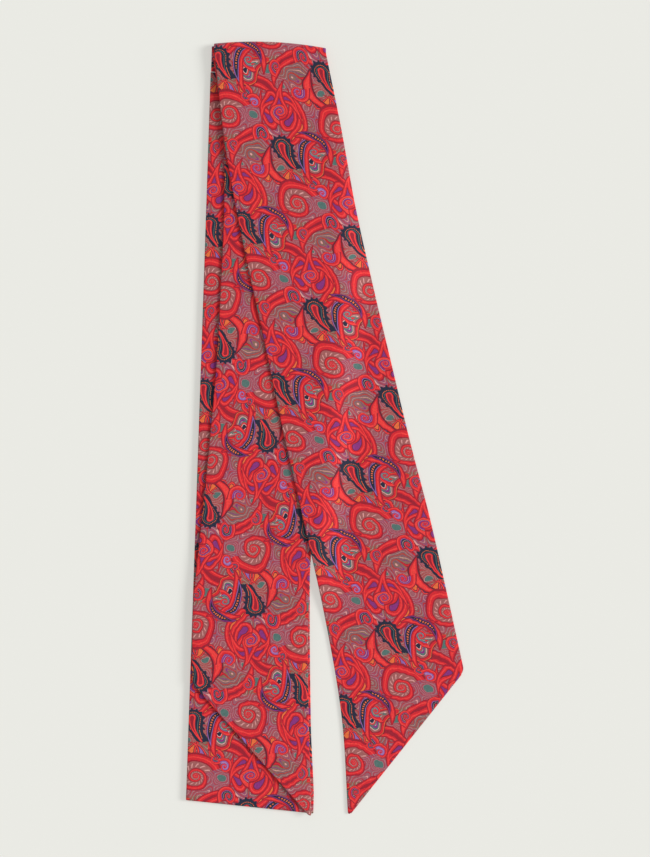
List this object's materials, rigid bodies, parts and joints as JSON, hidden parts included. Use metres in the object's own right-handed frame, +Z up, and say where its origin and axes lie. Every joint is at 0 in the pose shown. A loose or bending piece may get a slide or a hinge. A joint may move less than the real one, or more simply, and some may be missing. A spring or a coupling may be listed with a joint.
{
  "type": "narrow neck scarf, folded in four",
  "caption": "Narrow two-ply neck scarf in a red paisley print, slanted ends, folded in four and laid flat.",
  "frame": {"origin": "under the middle of the folded scarf's box, on the surface it lies on", "axes": "+Z up from the surface, +Y along the folded bundle towards its top folds, +X to the side the front tail swings to"},
  "size_m": [0.1456, 0.406, 0.0049],
  "materials": {
    "print": "matte"
  },
  "bodies": {
    "root": {"front_tail": "print", "inner_tail": "print", "under_stretch": "print"}
  },
  "joints": []
}
